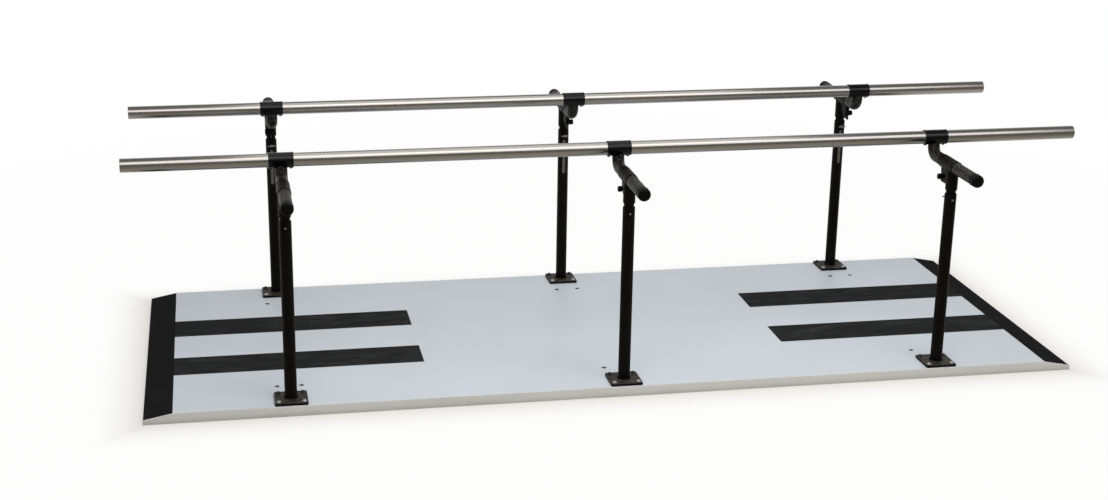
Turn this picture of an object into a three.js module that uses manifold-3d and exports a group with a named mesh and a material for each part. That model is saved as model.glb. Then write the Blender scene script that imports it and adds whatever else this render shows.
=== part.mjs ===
// Rehab walking parallel bars: two stainless handrails over a low platform with a ramp at each end.
// Six posts carry the rails. Each post has a tube that lifts in it, and on that a collar through
// which a horizontal arm slides, so that the rails are set for height and for width.
// Millimetres, +X along the bars, -Y the near side, +Z up, origin under the middle of the platform.

import * as THREE from "three";
import { mergeVertices } from "three/addons/utils/BufferGeometryUtils.js";
import Module from "manifold-3d";

const wasm = await Module();
wasm.setup();

// Fits and facets
const GAP = 0.3; // between pieces that touch
const SLIDE_FIT = 0.35; // between tubes that slide in each other
const OVERRUN = 6; // how far a cutter reaches past what it cuts
const TUBE_SIDES = 16;
const SCREW_SIDES = 8;
const HOLE_SIDES = 6;
const BEND_STEPS = 5;
const DOME_STEPS = 3;

// Platform
const DECK_WIDTH = 1128; // over both edge trims
const BOARD_THICKNESS = 31.75;
const LAMINATE_THICKNESS = 1;
const TRIM_THICKNESS = 3;
const RAMP_RUN = 89;
const RAMP_NOSE = 15.5; // height of the ramp's outer edge
const RAMP_SETBACK = 30; // from the rails' ends to the ramp's outer edge
const STRIP_LENGTH = 800;
const STRIP_WIDTH = 150;
const STRIP_SPACING = 203; // between the two strips at one end
const STRIP_THICKNESS = 1.25;

// Posts
const POST_INSET = 56; // from the platform's long edge to the post's axis
const PLATE_SIZE = 101.6;
const PLATE_THICKNESS = 8;
const PLATE_CORNER = 6;
const BOLT_SPACING = 76.2;
const BOLT_HOLE = 9;
const POST_DIAMETER = 38.1;
const POST_WALL = 2.65;
const POST_HEIGHT = 572; // from the deck to the rim
const WINDOW_WIDTH = 12.7; // slot in the post that shows the height setting
const WINDOW_LENGTH = 128;
const WINDOW_DROP = 33; // from the rim to the slot's upper end
const SCREW_DROP = 18; // from the rim to the height screw
const SCREW_DIAMETER = 8;
const BOSS_DIAMETER = 15;
const BOSS_LENGTH = 6;
const GRIP_LENGTH = 26; // the height screw's cross bar
const GRIP_WIDTH = 4.5;
const GRIP_DEPTH = 4.5;
const GRIP_NECK = 4; // screw shank that shows between boss and cross bar

// Rails
const RAIL_LENGTH = 3048;
const RAIL_OVERHANG = 476; // past the axes of the end posts
const RAIL_DIAMETER = 42.2;
const RAIL_WALL = 2;
const RAIL_TOP_HEIGHT = 738.6; // above the deck
const RAIL_INBOARD = 158.75; // from the post's axis, which leaves 656.3 between the rails
const PLUG_LENGTH = 14;
const CLAMP_LENGTH = 76.2;
const CLAMP_WALL = 2.2;

// Arms
const ARM_DIAMETER = 38.1;
const ARM_WALL = 2.5;
const ARM_DROP = 56.5; // from the rail's axis to the arm's
const ARM_REACH = 342; // from the rail's axis to the arm's cut end
const BEND_RADIUS = 30;
const CAP_WALL = 1.5;
const CAP_LENGTH = 30;
const CAP_DOME = 9; // the cap is solid there, past the arm's cut end

// Lift tubes and their heads
const LIFT_WALL = 2.2;
const LIFT_CLEARANCE = 19; // from the post's foot plate to the lift tube's lower end
const SOCKET_DROP = 76; // from the arm's axis to the socket's lower end
const COLLAR_WALL = 2;
const COLLAR_OUTBOARD = 28; // collar ends, from the post's axis
const COLLAR_INBOARD = 76;
const LUG_THICKNESS = 5.5;
const LUG_SLIT = 3;
const LUG_RADIUS = 12;
const LUG_INBOARD = 60; // knob's axis from the post's axis
const KNOB_DROP = 48; // knob's axis under the arm's
const KNOB_DIAMETER = 20;
const KNOB_LENGTH = 17;
const KNOB_LOBES = 6;
const KNOB_FLUTE = 1.2;
const KNOB_SCREW = 8;

// Worked out from the sizes above
const DECK_TOP = BOARD_THICKNESS + LAMINATE_THICKNESS;
const PLATE_TOP = DECK_TOP + PLATE_THICKNESS;
const POST_RADIUS = POST_DIAMETER / 2;
const POST_RIM = DECK_TOP + POST_HEIGHT;
const APOTHEM = Math.cos(Math.PI / TUBE_SIDES); // a faceted bore is this much tighter at its flats
const SCREW_APOTHEM = Math.cos(Math.PI / SCREW_SIDES);
const POST_BORE = POST_RADIUS - POST_WALL;
const LIFT_RADIUS = POST_BORE * APOTHEM - SLIDE_FIT;
const LIFT_FOOT = PLATE_TOP + LIFT_CLEARANCE;
const RAIL_RADIUS = RAIL_DIAMETER / 2;
const RAIL_Z = DECK_TOP + RAIL_TOP_HEIGHT - RAIL_RADIUS;
const POST_Y = DECK_WIDTH / 2 - POST_INSET;
const RAIL_Y = POST_Y - RAIL_INBOARD;
const POST_PITCH = RAIL_LENGTH / 2 - RAIL_OVERHANG; // along the bars
const ARM_RADIUS = ARM_DIAMETER / 2;
const ARM_Z = RAIL_Z - ARM_DROP;
const CLAMP_BORE = (RAIL_RADIUS + GAP) / APOTHEM;
const CLAMP_RADIUS = CLAMP_BORE + CLAMP_WALL;
const COLLAR_BORE = (ARM_RADIUS + SLIDE_FIT) / APOTHEM;
const COLLAR_RADIUS = COLLAR_BORE + COLLAR_WALL;
const KNOB_Z = ARM_Z - KNOB_DROP;
const SCREW_Z = POST_RIM - SCREW_DROP;
const HALF_DECK = RAIL_LENGTH / 2 - RAMP_SETBACK - RAMP_RUN; // half the flat top's length
const INNER_WIDTH = DECK_WIDTH - 2 * TRIM_THICKNESS;

const finish = (color, roughness, metalness) =>
  new THREE.MeshStandardMaterial({ color, roughness, metalness });
const FINISHES = {
  board: finish(0xa58a63, 0.8, 0),
  laminate: finish(0xc4cace, 0.45, 0),
  trim: finish(0xb0b1aa, 0.5, 0),
  rubber: finish(0x262626, 0.85, 0),
  powderCoat: finish(0x0b0b0c, 0.4, 0.3),
  armCoat: finish(0x2a2b2a, 0.45, 0.3),
  blackPlastic: finish(0x07080a, 0.3, 0),
  stainless: finish(0xb9b4aa, 0.25, 1),
  zinc: finish(0x9a9a98, 0.35, 1),
};

// Mesh and solid conversions
function solidOf(geometry) {
  const bare = geometry.clone();
  bare.deleteAttribute("normal");
  bare.deleteAttribute("uv");
  const merged = mergeVertices(bare);
  const vertProperties = new Float32Array(merged.attributes.position.array);
  const triVerts = new Uint32Array(merged.index.array);
  return new wasm.Manifold(new wasm.Mesh({ numProp: 3, vertProperties, triVerts }));
}

function geometryOf(solid) {
  const { vertProperties, triVerts } = solid.getMesh();
  const geometry = new THREE.BufferGeometry();
  geometry.setAttribute("position", new THREE.BufferAttribute(vertProperties, 3));
  geometry.setIndex(new THREE.BufferAttribute(triVerts, 1));
  geometry.computeVertexNormals();
  return geometry;
}

function shape(added, cut = []) {
  const whole = added.map(solidOf).reduce((sum, piece) => sum.add(piece));
  return geometryOf(cut.map(solidOf).reduce((rest, piece) => rest.subtract(piece), whole));
}

// Turned forms: profile points are [radius, height], and the axis is turned to where it is needed
const TURNS = { x: (g) => g.rotateZ(-Math.PI / 2), y: (g) => g, z: (g) => g.rotateX(Math.PI / 2) };

function turned(profile, axis, sides = TUBE_SIDES) {
  const points = profile.map(([radius, height]) => new THREE.Vector2(radius, height));
  return TURNS[axis](new THREE.LatheGeometry(points, sides));
}

function tube(radius, bore, start, end, axis, sides = TUBE_SIDES) {
  const ring = [[bore, start], [radius, start], [radius, end], [bore, end], [bore, start]];
  return turned(ring, axis, sides);
}

function rod(radius, start, end, axis, sides = TUBE_SIDES) {
  return turned([[0, start], [radius, start], [radius, end], [0, end]], axis, sides);
}

// Flat forms: an outline drawn in plan, in elevation along the bars, or in elevation across them
function outline(points) {
  return new THREE.Shape(points.map(([x, y]) => new THREE.Vector2(x, y)));
}

function sheet(drawn, thickness, curveSegments = 1) {
  return new THREE.ExtrudeGeometry(drawn, { depth: thickness, bevelEnabled: false, curveSegments });
}

function alongSheet(points, thickness) {
  return sheet(outline(points), thickness).rotateX(Math.PI / 2).translate(0, thickness / 2, 0);
}

function acrossSheet(drawn, thickness, curveSegments) {
  const flat = sheet(drawn, thickness, curveSegments);
  return flat.rotateX(Math.PI / 2).rotateZ(Math.PI / 2).translate(-thickness / 2, 0, 0);
}

function block(sizeX, sizeY, sizeZ) {
  return new THREE.BoxGeometry(sizeX, sizeY, sizeZ);
}

function circleHole(x, y, diameter) {
  const hole = new THREE.Path();
  const step = (2 * Math.PI) / HOLE_SIDES;
  for (let i = 0; i < HOLE_SIDES; i++) {
    const reach = [x + (diameter / 2) * Math.cos(-i * step), y + (diameter / 2) * Math.sin(-i * step)];
    if (i === 0) hole.moveTo(...reach);
    else hole.lineTo(...reach);
  }
  hole.closePath();
  return hole;
}

// Platform
function deckHoles() {
  const pairs = [BOLT_SPACING / 2, -BOLT_SPACING / 2, -BOLT_SPACING * 1.5]; // the last pair is spare
  const holes = [];
  for (const place of [-1, 0, 1]) {
    for (const side of [-1, 1]) {
      for (const outboard of pairs) {
        for (const half of [-1, 1]) {
          const x = place * POST_PITCH + (half * BOLT_SPACING) / 2;
          holes.push(circleHole(x, side * (POST_Y + outboard), BOLT_HOLE));
        }
      }
    }
  }
  return holes;
}

function deckSheet(bottom, thickness) {
  const y = INNER_WIDTH / 2;
  const drawn = outline([[-HALF_DECK, -y], [HALF_DECK, -y], [HALF_DECK, y], [-HALF_DECK, y]]);
  drawn.holes.push(...deckHoles());
  return sheet(drawn, thickness).translate(0, 0, bottom);
}

function edgeTrim() {
  const end = HALF_DECK + RAMP_RUN;
  const half = [[end, 0], [end, RAMP_NOSE], [HALF_DECK, DECK_TOP]];
  const mirrored = half.map(([x, z]) => [-x, z]).reverse();
  return alongSheet([...half, ...mirrored], TRIM_THICKNESS);
}

function ramp() {
  const section = [[0, 0], [RAMP_RUN, 0], [RAMP_RUN, RAMP_NOSE], [0, DECK_TOP]];
  return alongSheet(section, INNER_WIDTH);
}

function treadStrip() {
  return block(STRIP_LENGTH, STRIP_WIDTH, STRIP_THICKNESS);
}

// Post: foot plate, welded tube, and the boss that the height screw goes through
function footPlate() {
  const half = PLATE_SIZE / 2;
  const r = PLATE_CORNER;
  const drawn = new THREE.Shape();
  drawn.moveTo(-half + r, -half);
  drawn.lineTo(half - r, -half).absarc(half - r, -half + r, r, -Math.PI / 2, 0);
  drawn.lineTo(half, half - r).absarc(half - r, half - r, r, 0, Math.PI / 2);
  drawn.lineTo(-half + r, half).absarc(-half + r, half - r, r, Math.PI / 2, Math.PI);
  drawn.lineTo(-half, -half + r).absarc(-half + r, -half + r, r, Math.PI, Math.PI * 1.5);
  const bolt = BOLT_SPACING / 2;
  for (const [x, y] of [[-bolt, -bolt], [bolt, -bolt], [bolt, bolt], [-bolt, bolt]]) {
    drawn.holes.push(circleHole(x, y, BOLT_HOLE));
  }
  return sheet(drawn, PLATE_THICKNESS, DOME_STEPS).translate(0, 0, DECK_TOP);
}

function windowCutter() {
  const half = WINDOW_WIDTH / 2;
  const top = POST_RIM - WINDOW_DROP - half;
  const foot = POST_RIM - WINDOW_DROP - WINDOW_LENGTH + half;
  const drawn = new THREE.Shape();
  drawn.absarc(0, top, half, 0, Math.PI);
  drawn.absarc(0, foot, half, Math.PI, 2 * Math.PI);
  drawn.closePath();
  const depth = POST_RADIUS + OVERRUN;
  return sheet(drawn, depth, BEND_STEPS).rotateX(Math.PI / 2).translate(0, depth, 0);
}

function post() {
  const foot = PLATE_TOP - PLATE_THICKNESS / 2;
  const bossEnd = POST_RADIUS + BOSS_LENGTH;
  const bore = (SCREW_DIAMETER / 2 + GAP) / SCREW_APOTHEM;
  return shape(
    [footPlate(), rod(POST_RADIUS, foot, POST_RIM, "z"),
      rod(BOSS_DIAMETER / 2, 0, bossEnd, "y", SCREW_SIDES).translate(0, 0, SCREW_Z)],
    [rod(POST_BORE, PLATE_TOP, POST_RIM + OVERRUN, "z"), windowCutter(),
      rod(bore, 0, bossEnd + OVERRUN, "y", SCREW_SIDES).translate(0, 0, SCREW_Z)],
  );
}

function heightScrew() {
  const tip = LIFT_RADIUS + GAP;
  const grip = POST_RADIUS + BOSS_LENGTH + GRIP_NECK;
  const half = GRIP_WIDTH / 2;
  const bar = new THREE.Shape();
  bar.absarc(GRIP_LENGTH / 2 - half, 0, half, -Math.PI / 2, Math.PI / 2);
  bar.absarc(-GRIP_LENGTH / 2 + half, 0, half, Math.PI / 2, Math.PI * 1.5);
  bar.closePath();
  const crossBar = sheet(bar, GRIP_DEPTH, DOME_STEPS).rotateX(Math.PI / 2);
  return shape([
    rod(SCREW_DIAMETER / 2, tip, grip + GRIP_DEPTH / 2, "y", SCREW_SIDES),
    crossBar.translate(0, grip + GRIP_DEPTH, 0),
  ]).translate(0, 0, SCREW_Z);
}

// Lift tube with the socket, the split collar and its two lugs on top
function lugOutline() {
  const drawn = new THREE.Shape();
  const inner = ARM_Z - COLLAR_BORE;
  drawn.moveTo(POST_RADIUS - POST_WALL, inner);
  drawn.lineTo(POST_RADIUS - POST_WALL, KNOB_Z + LUG_RADIUS / 2);
  drawn.lineTo(LUG_INBOARD - LUG_RADIUS, KNOB_Z - LUG_RADIUS / 2);
  drawn.absarc(LUG_INBOARD, KNOB_Z, LUG_RADIUS, Math.PI * 1.2, Math.PI * 2);
  drawn.lineTo(COLLAR_INBOARD, inner);
  drawn.closePath();
  return drawn;
}

function lift() {
  const socketFoot = ARM_Z - SOCKET_DROP;
  const lugWidth = 2 * LUG_THICKNESS + LUG_SLIT;
  const slitStart = POST_RADIUS + POST_WALL;
  const slit = block(LUG_SLIT, COLLAR_INBOARD - slitStart + OVERRUN, COLLAR_RADIUS + KNOB_DROP);
  const slitY = (COLLAR_INBOARD + slitStart + OVERRUN) / 2;
  const screwBore = (KNOB_SCREW / 2 + GAP) / SCREW_APOTHEM;
  return shape(
    [rod(LIFT_RADIUS, LIFT_FOOT, ARM_Z, "z"),
      rod(POST_RADIUS, socketFoot, ARM_Z, "z"),
      rod(COLLAR_RADIUS, -COLLAR_OUTBOARD, COLLAR_INBOARD, "y").translate(0, 0, ARM_Z),
      acrossSheet(lugOutline(), lugWidth, BEND_STEPS)],
    [rod(LIFT_RADIUS - LIFT_WALL, LIFT_FOOT - OVERRUN, ARM_Z, "z"),
      rod(COLLAR_BORE, -COLLAR_OUTBOARD - OVERRUN, COLLAR_INBOARD + OVERRUN, "y").translate(0, 0, ARM_Z),
      slit.translate(0, slitY, ARM_Z - (COLLAR_RADIUS + KNOB_DROP) / 2),
      rod(screwBore, -lugWidth, lugWidth, "x", SCREW_SIDES).translate(0, LUG_INBOARD, KNOB_Z)],
  );
}

function widthKnob(turn) {
  const lobed = [];
  const steps = 4 * KNOB_LOBES;
  for (let i = 0; i < steps; i++) {
    const angle = (2 * Math.PI * i) / steps;
    const reach = KNOB_DIAMETER / 2 - KNOB_FLUTE * (1 - Math.cos(KNOB_LOBES * angle)) / 2;
    lobed.push([reach * Math.cos(angle), reach * Math.sin(angle)]);
  }
  const seat = LUG_THICKNESS + LUG_SLIT / 2 + GAP;
  const grip = sheet(outline(lobed), KNOB_LENGTH).rotateY(Math.PI / 2).translate(seat, 0, 0);
  const shank = rod(KNOB_SCREW / 2, -seat, seat + KNOB_LENGTH / 2, "x", SCREW_SIDES);
  return shape([grip, shank]).rotateZ(turn).translate(0, LUG_INBOARD, KNOB_Z);
}

// Arm: one bent tube, its upright end cut to sit under the rail clamp
class CentreLine extends THREE.Curve {
  constructor(stations) {
    super();
    this.stations = stations;
  }

  at(share) {
    return this.stations[Math.round(share * (this.stations.length - 1))];
  }

  getPointAt(share) {
    return this.at(share).point.clone();
  }

  getTangentAt(share) {
    return this.at(share).tangent.clone();
  }
}

function armCentreLine() {
  const station = (y, z, ty, tz) => ({
    point: new THREE.Vector3(0, y, z),
    tangent: new THREE.Vector3(0, ty, tz),
  });
  const stations = [station(RAIL_INBOARD - ARM_REACH, ARM_Z, 1, 0)];
  for (let i = 0; i <= BEND_STEPS; i++) {
    const angle = (Math.PI / 2) * (i / BEND_STEPS);
    const y = RAIL_INBOARD - BEND_RADIUS + BEND_RADIUS * Math.sin(angle);
    const z = ARM_Z + BEND_RADIUS - BEND_RADIUS * Math.cos(angle);
    stations.push(station(y, z, Math.cos(angle), Math.sin(angle)));
  }
  stations.push(station(RAIL_INBOARD, RAIL_Z, 0, 1));
  return new CentreLine(stations);
}

function arm() {
  const circle = (radius) => {
    const points = [];
    for (let i = 0; i < TUBE_SIDES; i++) {
      const angle = (2 * Math.PI * i) / TUBE_SIDES;
      points.push(new THREE.Vector2(radius * Math.cos(angle), radius * Math.sin(angle)));
    }
    return points;
  };
  const section = new THREE.Shape(circle(ARM_RADIUS));
  section.holes.push(new THREE.Path(circle(ARM_RADIUS - ARM_WALL)));
  const line = armCentreLine();
  const bent = new THREE.ExtrudeGeometry(section, { steps: BEND_STEPS + 2, extrudePath: line });
  const seat = rod(CLAMP_RADIUS + GAP, -CLAMP_LENGTH, CLAMP_LENGTH, "x");
  return shape([bent], [seat.translate(0, RAIL_INBOARD, RAIL_Z)]);
}

function armCap() {
  const bore = (ARM_RADIUS + GAP) / APOTHEM;
  const radius = bore + CAP_WALL;
  const floor = CAP_LENGTH - CAP_DOME;
  const profile = [[0, floor], [bore, floor], [bore, 0], [radius, 0]];
  for (let i = 0; i < DOME_STEPS; i++) {
    const angle = (Math.PI / 2) * (i / DOME_STEPS);
    const inset = CAP_DOME * (1 - Math.cos(angle));
    profile.push([radius - inset, floor + CAP_DOME * Math.sin(angle)]);
  }
  profile.push([radius - CAP_DOME, CAP_LENGTH], [0, CAP_LENGTH]);
  const seat = RAIL_INBOARD - ARM_REACH - GAP + floor;
  return turned(profile, "y").rotateX(Math.PI).translate(0, seat, ARM_Z);
}

// Rails, the clamps round them and the plugs in their ends
function rail() {
  return tube(RAIL_RADIUS, RAIL_RADIUS - RAIL_WALL, -RAIL_LENGTH / 2, RAIL_LENGTH / 2, "x");
}

function railPlug() {
  const radius = (RAIL_RADIUS - RAIL_WALL) * APOTHEM - GAP;
  return rod(radius, 0, PLUG_LENGTH, "x");
}

function railClamp() {
  const sleeve = tube(CLAMP_RADIUS, CLAMP_BORE, -CLAMP_LENGTH / 2, CLAMP_LENGTH / 2, "x");
  return sleeve.translate(0, RAIL_INBOARD, RAIL_Z);
}

// Assembly
const bars = new THREE.Group();

function add(name, geometry, material, x = 0, y = 0, z = 0, turn = 0) {
  const mesh = new THREE.Mesh(geometry, material);
  mesh.name = name;
  mesh.position.set(x, y, z);
  mesh.rotation.z = turn;
  bars.add(mesh);
}

const ENDS = [["left", -1], ["right", 1]];
const SIDES = [["near", -1], ["far", 1]];
const PLACES = [["left", -1], ["middle", 0], ["right", 1]];

add("deck_board", deckSheet(0, BOARD_THICKNESS), FINISHES.board);
add("deck_laminate", deckSheet(BOARD_THICKNESS, LAMINATE_THICKNESS), FINISHES.laminate);
for (const [side, sign] of SIDES) {
  const trimY = sign * (DECK_WIDTH - TRIM_THICKNESS) / 2;
  add(`edge_trim_${side}`, edgeTrim(), FINISHES.trim, 0, trimY);
}
for (const [end, sign] of ENDS) {
  add(`ramp_${end}`, ramp(), FINISHES.rubber, sign * HALF_DECK, 0, 0, sign > 0 ? 0 : Math.PI);
  for (const [side, across] of SIDES) {
    const x = sign * (HALF_DECK - STRIP_LENGTH / 2);
    const y = across * (STRIP_SPACING + STRIP_WIDTH) / 2;
    const z = DECK_TOP + STRIP_THICKNESS / 2;
    add(`tread_strip_${side}_${end}`, treadStrip(), FINISHES.rubber, x, y, z);
  }
}

// One station's pieces are drawn round its post's axis, with the rail at +Y; the far side is turned
const stationPieces = [
  ["post", post(), FINISHES.powderCoat],
  ["height_screw", heightScrew(), FINISHES.zinc],
  ["lift", lift(), FINISHES.powderCoat],
  ["arm", arm(), FINISHES.armCoat],
  ["arm_cap", armCap(), FINISHES.blackPlastic],
  ["rail_clamp", railClamp(), FINISHES.blackPlastic],
];
const knobTurns = { left: 0, middle: Math.PI, right: Math.PI }; // which side of the lugs it is on

for (const [side, sign] of SIDES) {
  const turn = sign > 0 ? Math.PI : 0;
  for (const [place, along] of PLACES) {
    const knob = ["width_knob", widthKnob(knobTurns[place]), FINISHES.blackPlastic];
    for (const [piece, geometry, material] of [...stationPieces, knob]) {
      add(`${piece}_${side}_${place}`, geometry, material, along * POST_PITCH, sign * POST_Y, 0, turn);
    }
  }
  add(`rail_${side}`, rail(), FINISHES.stainless, 0, sign * RAIL_Y, RAIL_Z);
  for (const [end, along] of ENDS) {
    const x = along * (RAIL_LENGTH / 2 - (along > 0 ? PLUG_LENGTH : 0));
    add(`rail_plug_${side}_${end}`, railPlug(), FINISHES.blackPlastic, x, sign * RAIL_Y, RAIL_Z);
  }
}

export default bars;
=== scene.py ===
"""Walking parallel bars for a therapy room: two stainless handrails on six posts over a low platform.

The pieces are built in the order in which the real bars are put together, in metres,
+X along the bars, -Y the near side and +Z up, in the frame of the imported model.
"""

import math

import bmesh
import bpy
from mathutils import Matrix, Vector


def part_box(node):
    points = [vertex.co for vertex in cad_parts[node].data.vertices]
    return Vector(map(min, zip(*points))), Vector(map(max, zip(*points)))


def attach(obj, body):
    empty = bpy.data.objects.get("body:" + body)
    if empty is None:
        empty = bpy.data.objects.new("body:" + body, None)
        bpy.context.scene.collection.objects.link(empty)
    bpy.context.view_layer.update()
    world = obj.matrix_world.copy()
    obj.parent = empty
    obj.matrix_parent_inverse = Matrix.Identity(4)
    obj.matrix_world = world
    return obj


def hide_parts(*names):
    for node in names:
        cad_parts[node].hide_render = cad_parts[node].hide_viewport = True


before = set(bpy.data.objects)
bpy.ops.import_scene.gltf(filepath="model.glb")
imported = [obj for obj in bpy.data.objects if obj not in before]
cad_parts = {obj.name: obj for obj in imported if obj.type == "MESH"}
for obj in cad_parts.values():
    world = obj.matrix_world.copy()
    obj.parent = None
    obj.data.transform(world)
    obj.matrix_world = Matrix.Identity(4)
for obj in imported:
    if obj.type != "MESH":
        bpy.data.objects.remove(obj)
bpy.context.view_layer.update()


# Platform board: birch plywood, glued from thin sheets and sealed at its edges. It carries everything.
# It is the frame's own solid, drilled for the foot plates, and takes its finish here.


class Wire:
    """What flows out of a node of a finish. Sums written on it add the nodes that work them out."""

    def __init__(self, web, socket):
        self.web = web
        self.socket = socket

    def __add__(self, other):
        return self.web.maths("ADD", self, other)

    def __radd__(self, other):
        return self.web.maths("ADD", other, self)

    def __sub__(self, other):
        return self.web.maths("SUBTRACT", self, other)

    def __rsub__(self, other):
        return self.web.maths("SUBTRACT", other, self)

    def __mul__(self, other):
        return self.web.maths("MULTIPLY", self, other)

    def __rmul__(self, other):
        return self.web.maths("MULTIPLY", other, self)

    def __pow__(self, other):
        return self.web.maths("POWER", self, other)


class Web:
    """The nodes of one finish, or of the studio's sky."""

    def __init__(self, tree):
        self.tree = tree

    def node(self, kind, settings=None, inputs=None, out=0):
        made = self.tree.nodes.new(kind)
        for name, value in (settings or {}).items():
            setattr(made, name, value)
        for name, value in (inputs or {}).items():
            self.feed(made.inputs[name], value)
        return Wire(self, made.outputs[out])

    def feed(self, socket, value):
        if isinstance(value, Wire):
            self.tree.links.new(value.socket, socket)
        else:
            socket.default_value = value

    def maths(self, operation, first, second=0.0):
        return self.node("ShaderNodeMath", {"operation": operation}, {0: first, 1: second})

    def between(self, value, low, high, start=0.0, end=1.0):
        """From start at low to end at high, held flat outside."""
        inputs = {"Value": value, "From Min": low, "From Max": high, "To Min": start, "To Max": end}
        return self.node("ShaderNodeMapRange", inputs=inputs)


class Finish(Web):
    """A finish: one shader, whose constants are set on its own sockets."""

    def __init__(self, name, roughness, metallic=0.0, specular=0.5):
        self.material = bpy.data.materials.new(name)
        self.material.use_nodes = True
        super().__init__(self.material.node_tree)
        self.shader = self.tree.nodes["Principled BSDF"]
        self.wear(Roughness=roughness, Metallic=metallic)
        self.shader.inputs["Specular IOR Level"].default_value = specular

    def wear(self, **inputs):
        """Feeds the shader's own sockets."""
        for name, value in inputs.items():
            self.feed(self.shader.inputs[name.replace("_", " ")], value)

    def place(self, axis):
        """How far along X, Y or Z a point of the piece lies."""
        spot = self.node("ShaderNodeTexCoord", out="Object")
        return self.node("ShaderNodeSeparateXYZ", inputs={0: spot}, out=axis)

    def cloud(self, size, stretch=(1, 1, 1), detail=2.0):
        """Soft random patches of about that size, drawn out along the axes with a stretch over 1."""
        spot = self.node("ShaderNodeTexCoord", out="Object")
        spread = [1 / (size * share) for share in stretch]
        scaled = self.node("ShaderNodeVectorMath", {"operation": "MULTIPLY"}, {0: spot, 1: spread})
        own = self.node("ShaderNodeObjectInfo", out="Random") * SEED_SPREAD
        inputs = {"Vector": scaled, "W": own, "Scale": 1.0, "Detail": detail}
        return self.node("ShaderNodeTexNoise", {"noise_dimensions": "4D"}, inputs)

    def mixed(self, share, first, second):
        """From the first colour to the second, as the share goes from 0 to 1."""
        inputs = {0: share, 6: first, 7: second}
        return self.node("ShaderNodeMix", {"data_type": "RGBA"}, inputs, out=2)

    def raised(self, height, depth):
        """A fine relief of that depth."""
        return self.node("ShaderNodeBump", inputs={"Height": height, "Distance": depth, "Strength": 1.0})


SEED_SPREAD = 60.0  # keeps the patches of like pieces apart


def paint(red, green, blue):
    """A colour as it is seen, 0 to 255, in the light values that a shader takes."""
    shares = [level / 255 for level in (red, green, blue)]
    return [s / 12.92 if s <= 0.04045 else ((s + 0.055) / 1.055) ** 2.4 for s in shares] + [1.0]


BOARD_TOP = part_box("deck_board")[1].z
PLY_COUNT = 11
WOOD_GRAIN = 0.004
WOOD_GRAIN_RISE = 0.0003
PALE_PLY = paint(190, 163, 118)
DARK_PLY = paint(134, 103, 66)

plywood = Finish("birch_plywood", roughness=0.7, specular=0.3)
layers = plywood.maths("PINGPONG", plywood.place("Z") * (PLY_COUNT / BOARD_TOP), 1.0)
grain = plywood.cloud(WOOD_GRAIN, stretch=(18, 1, 1), detail=4.0)
paleness = plywood.between(layers + grain * 0.5, 0.35, 1.1)
plywood.wear(
    Base_Color=plywood.mixed(paleness, DARK_PLY, PALE_PLY),
    Normal=plywood.raised(grain, WOOD_GRAIN_RISE),
)


def coat_node(name, finish):
    """Gives one of the frame's own solids its finish."""
    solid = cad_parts[name]
    solid.data.materials.clear()
    solid.data.materials.append(finish.material)


coat_node("deck_board", plywood)


# Laminate: a pale blue-grey sheet, 1 mm thick, bonded to the board. Its face has the fine pebbled
# grain that keeps feet from slipping, and faint clouds and scuffs where people walk.

LAMINATE_BLUE = paint(206, 212, 220)
LAMINATE_GREEN = paint(202, 208, 212)
LAMINATE_SCUFF = paint(182, 188, 192)
PEBBLE = 0.0016
PEBBLE_RISE = 0.00012
TINT_PATCH = 0.35
SCUFF_PATCH = 0.012

laminate = Finish("laminate", roughness=0.45, specular=0.4)
pebbles = laminate.cloud(PEBBLE)
clouds = laminate.cloud(TINT_PATCH, detail=3.0)
scuffs = laminate.between(laminate.cloud(SCUFF_PATCH, stretch=(9, 1, 1), detail=5.0), 0.66, 0.8)
sheet_colour = laminate.mixed(laminate.between(clouds, 0.3, 0.7), LAMINATE_BLUE, LAMINATE_GREEN)
dirt = scuffs * 0.35 + laminate.between(pebbles, 0.55, 0.8) * 0.14
laminate.wear(
    Base_Color=laminate.mixed(dirt, sheet_colour, LAMINATE_SCUFF),
    Roughness=0.4 + clouds * 0.12 + scuffs * 0.1,
    Normal=laminate.raised(pebbles, PEBBLE_RISE),
)
coat_node("deck_laminate", laminate)


# Edge trims: grey plastic strips, pressed on along both long edges of the board and cut down at
# their ends to the slope of the ramps.

TRIM_EDGE = 0.0008
RAMP_NOSE = 0.0155
WELD_DISTANCE = 1e-6
SHARP_ANGLE = math.radians(40)
BEVEL_STEPS = 3
NO_TURN = 0.0


def finished(mesh):
    """The same mesh with its faces out, smooth between its sharp edges, and its broad faces flat."""
    work = bmesh.new()
    work.from_mesh(mesh)
    bmesh.ops.remove_doubles(work, verts=work.verts, dist=WELD_DISTANCE)
    bmesh.ops.recalc_face_normals(work, faces=work.faces)
    work.to_mesh(mesh)
    work.free()
    mesh.shade_smooth()
    mesh.set_sharp_from_angle(angle=SHARP_ANGLE)

    def add_flats(piece):
        piece.modifiers.new("flats", "WEIGHTED_NORMAL").keep_sharp = True

    return worked(mesh, add_flats)


def worked(mesh, add_modifiers):
    """The mesh as the modifiers leave it."""
    piece = bpy.data.objects.new("work", mesh)
    bpy.context.scene.collection.objects.link(piece)
    add_modifiers(piece)
    result = bpy.data.meshes.new_from_object(piece.evaluated_get(bpy.context.evaluated_depsgraph_get()))
    bpy.data.objects.remove(piece)
    return result


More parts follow.
